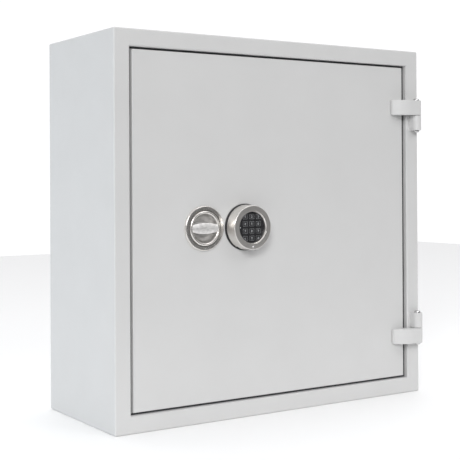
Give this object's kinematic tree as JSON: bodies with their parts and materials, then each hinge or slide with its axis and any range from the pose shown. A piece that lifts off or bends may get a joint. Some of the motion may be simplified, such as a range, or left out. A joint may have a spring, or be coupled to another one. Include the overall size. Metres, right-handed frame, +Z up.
{
  "type": "wall safe",
  "caption": "Shallow square wall safe with a flush hinged door, a recessed turn handle, a round electronic keypad and sliding bolts.",
  "frame": {"origin": "centre of the four wall anchor holes, on the back face", "axes": "+Y goes into the wall, +Z is up, +X is to the right for someone who faces the door"},
  "size_m": [0.7, 0.294, 0.7],
  "materials": {
    "case_paint": "light grey powder coat, satin, with fine texture",
    "zinc_plated": "zinc plated, satin",
    "pin_steel": "turned and polished",
    "bolt_chrome": "polished",
    "hard_steel": "hardened, dark",
    "handle_metal": "turned nickel",
    "handle_satin": "blasted nickel",
    "keypad_metal": "satin nickel",
    "black_plastic": "fine moulded texture",
    "brass": "machined",
    "lock_casting": "die cast",
    "solenoid": "wound coil in tape",
    "cable": "smooth jacket",
    "circuit_board": "solder mask",
    "cell_sleeve": "glossy sleeve",
    "key_rubber": "matt silicone",
    "indicator": "clear lens",
    "legend": "pale printed ink"
  },
  "bodies": {
    "case": {"case_shell": "case_paint", "door_frame": "case_paint", "back_panel": "case_paint", "shelf_rails": "zinc_plated", "shelf_clips": "zinc_plated", "upper_shelf": "case_paint", "lower_shelf": "case_paint", "case_knuckles": "case_paint", "hinge_pins": "pin_steel", "hinge_washers": "pin_steel"},
    "door": {"door_plate": "case_paint", "door_box": "case_paint", "door_lining": "case_paint", "lining_screws": "zinc_plated", "boltwork_plate": "zinc_plated", "hard_plate": "hard_steel", "rod_guides": "zinc_plated", "fixed_bolts": "bolt_chrome", "upper_hinge_strap": "case_paint", "lower_hinge_strap": "case_paint", "handle_rosette": "handle_metal", "spindle_bush": "brass", "keypad_base": "black_plastic", "lock_case": "lock_casting", "lock_cover": "lock_casting", "lock_screws": "zinc_plated", "lock_solenoid": "solenoid", "keypad_cable": "cable"},
    "handle": {"handle_cup": "handle_satin", "handle_grip": "handle_satin", "handle_spindle": "zinc_plated", "drive_disc": "zinc_plated", "spindle_nut": "zinc_plated"},
    "side_bolts": {"left_bolt_bar": "zinc_plated", "left_bolts": "bolt_chrome"},
    "upper_bolt": {"top_rod": "zinc_plated", "top_bolt": "bolt_chrome"},
    "lower_bolt": {"bottom_rod": "zinc_plated", "bottom_bolt": "bolt_chrome"},
    "keypad": {"keypad_housing": "keypad_metal", "keypad_face": "black_plastic", "keypad_mat": "key_rubber", "keypad_board": "circuit_board", "keypad_cells": "cell_sleeve", "keypad_spindle": "zinc_plated", "lock_cam": "zinc_plated"},
    "lock_throw": {"lock_bolt": "brass"},
    "plunger": {"lock_plunger": "bolt_chrome"},
    "button_1": {"key_1": "key_rubber"},
    "button_2": {"key_2": "key_rubber"},
    "button_3": {"key_3": "key_rubber"},
    "button_4": {"key_4": "key_rubber"},
    "button_5": {"key_5": "key_rubber"},
    "button_6": {"key_6": "key_rubber"},
    "button_7": {"key_7": "key_rubber"},
    "button_8": {"key_8": "key_rubber"},
    "button_9": {"key_9": "key_rubber"},
    "button_star": {"key_star": "key_rubber"},
    "button_0": {"key_0": "key_rubber"},
    "button_hash": {"key_hash": "key_rubber"}
  },
  "joints": [
    {"name": "door_hinge", "type": "hinge", "parent": "case", "child": "door", "pos_m": [0.337, -0.2804, 0], "axis": [0, 0, 1], "range_deg": [0, 180]},
    {"name": "handle_turn", "type": "hinge", "parent": "door", "child": "handle", "pos_m": [-0.1675, -0.27, 0], "axis": [0, -1, 0], "range_deg": [0, 90]},
    {"name": "side_bolts_slide", "type": "slide", "parent": "door", "child": "side_bolts", "axis": [-1, 0, 0], "range_m": [0, 0.018]},
    {"name": "upper_bolt_slide", "type": "slide", "parent": "door", "child": "upper_bolt", "axis": [0, 0, 1], "range_m": [0, 0.018]},
    {"name": "lower_bolt_slide", "type": "slide", "parent": "door", "child": "lower_bolt", "axis": [0, 0, -1], "range_m": [0, 0.018]},
    {"name": "keypad_turn", "type": "hinge", "parent": "door", "child": "keypad", "pos_m": [-0.0795, -0.27, 0], "axis": [0, -1, 0], "range_deg": [0, 90]},
    {"name": "lock_bolt_slide", "type": "slide", "parent": "door", "child": "lock_throw", "axis": [-1, 0, 0], "range_m": [0, 0.009]},
    {"name": "plunger_slide", "type": "slide", "parent": "door", "child": "plunger", "axis": [-1, 0, 0], "range_m": [0, 0.004], "stiffness_N_per_m": 100},
    {"name": "press_1", "type": "slide", "parent": "keypad", "child": "button_1", "axis": [0, 1, 0], "range_m": [0, 0.0008], "stiffness_N_per_m": 1000},
    {"name": "press_2", "type": "slide", "parent": "keypad", "child": "button_2", "axis": [0, 1, 0], "range_m": [0, 0.0008], "stiffness_N_per_m": 1000},
    {"name": "press_3", "type": "slide", "parent": "keypad", "child": "button_3", "axis": [0, 1, 0], "range_m": [0, 0.0008], "stiffness_N_per_m": 1000},
    {"name": "press_4", "type": "slide", "parent": "keypad", "child": "button_4", "axis": [0, 1, 0], "range_m": [0, 0.0008], "stiffness_N_per_m": 1000},
    {"name": "press_5", "type": "slide", "parent": "keypad", "child": "button_5", "axis": [0, 1, 0], "range_m": [0, 0.0008], "stiffness_N_per_m": 1000},
    {"name": "press_6", "type": "slide", "parent": "keypad", "child": "button_6", "axis": [0, 1, 0], "range_m": [0, 0.0008], "stiffness_N_per_m": 1000},
    {"name": "press_7", "type": "slide", "parent": "keypad", "child": "button_7", "axis": [0, 1, 0], "range_m": [0, 0.0008], "stiffness_N_per_m": 1000},
    {"name": "press_8", "type": "slide", "parent": "keypad", "child": "button_8", "axis": [0, 1, 0], "range_m": [0, 0.0008], "stiffness_N_per_m": 1000},
    {"name": "press_9", "type": "slide", "parent": "keypad", "child": "button_9", "axis": [0, 1, 0], "range_m": [0, 0.0008], "stiffness_N_per_m": 1000},
    {"name": "press_star", "type": "slide", "parent": "keypad", "child": "button_star", "axis": [0, 1, 0], "range_m": [0, 0.0008], "stiffness_N_per_m": 1000},
    {"name": "press_0", "type": "slide", "parent": "keypad", "child": "button_0", "axis": [0, 1, 0], "range_m": [0, 0.0008], "stiffness_N_per_m": 1000},
    {"name": "press_hash", "type": "slide", "parent": "keypad", "child": "button_hash", "axis": [0, 1, 0], "range_m": [0, 0.0008], "stiffness_N_per_m": 1000}
  ],
  "couplings": [
    {"joint": "side_bolts_slide", "follows": "handle_turn", "m_per_rad": 0.011459},
    {"joint": "upper_bolt_slide", "follows": "handle_turn", "m_per_rad": 0.011459},
    {"joint": "lower_bolt_slide", "follows": "handle_turn", "m_per_rad": 0.011459},
    {"joint": "lock_bolt_slide", "follows": "keypad_turn", "m_per_rad": 0.0057295}
  ]
}
